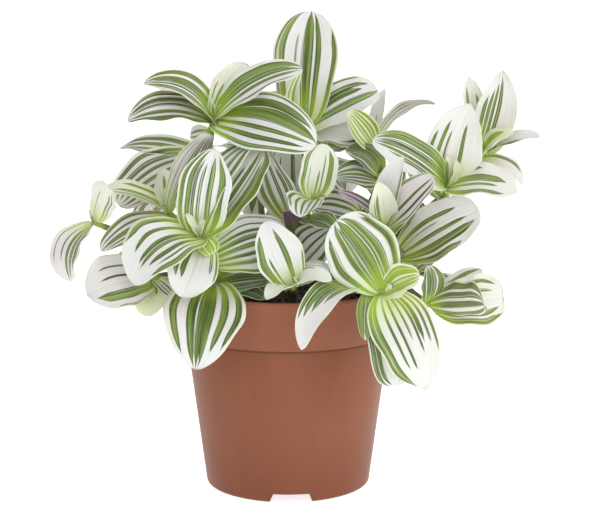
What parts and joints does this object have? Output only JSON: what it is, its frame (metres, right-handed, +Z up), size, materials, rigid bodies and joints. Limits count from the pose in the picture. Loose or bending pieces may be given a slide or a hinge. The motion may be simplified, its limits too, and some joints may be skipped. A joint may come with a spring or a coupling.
{
  "type": "potted tradescantia",
  "caption": "Leafy trailing house plant with green and white striped leaves on knotted stems, growing in soil in a plain tapered nursery pot with a collar rim and drain recesses.",
  "frame": {"origin": "centre of the pot's base, on the surface that it stands on", "axes": "+Z up, -Y towards the front, where the picture was taken from, +X to the viewer's right"},
  "size_m": [0.2595, 0.1841, 0.2553],
  "materials": {
    "pot_plastic": "satin terracotta-coloured plastic",
    "potting_soil": "rough dark potting soil",
    "foliage": "soft satin leaves, green and cream stripes"
  },
  "bodies": {
    "root": {"pot": "pot_plastic", "soil": "potting_soil", "shoot_high_left": "foliage", "shoot_inner_left": "foliage", "shoot_far_left": "foliage", "shoot_front_left": "foliage", "shoot_low_left": "foliage", "shoot_front_middle": "foliage", "shoot_middle": "foliage", "shoot_inner_middle": "foliage", "shoot_high_middle": "foliage", "shoot_high_right": "foliage", "shoot_far_right": "foliage", "shoot_right": "foliage", "shoot_inner_right": "foliage", "shoot_front_right": "foliage", "shoot_low_right": "foliage", "shoot_back_left": "foliage", "shoot_back_middle": "foliage", "shoot_back_high": "foliage", "shoot_back_right": "foliage", "shoot_back_low": "foliage", "shoot_side_right": "foliage", "shoot_side_left": "foliage"}
  },
  "joints": []
}
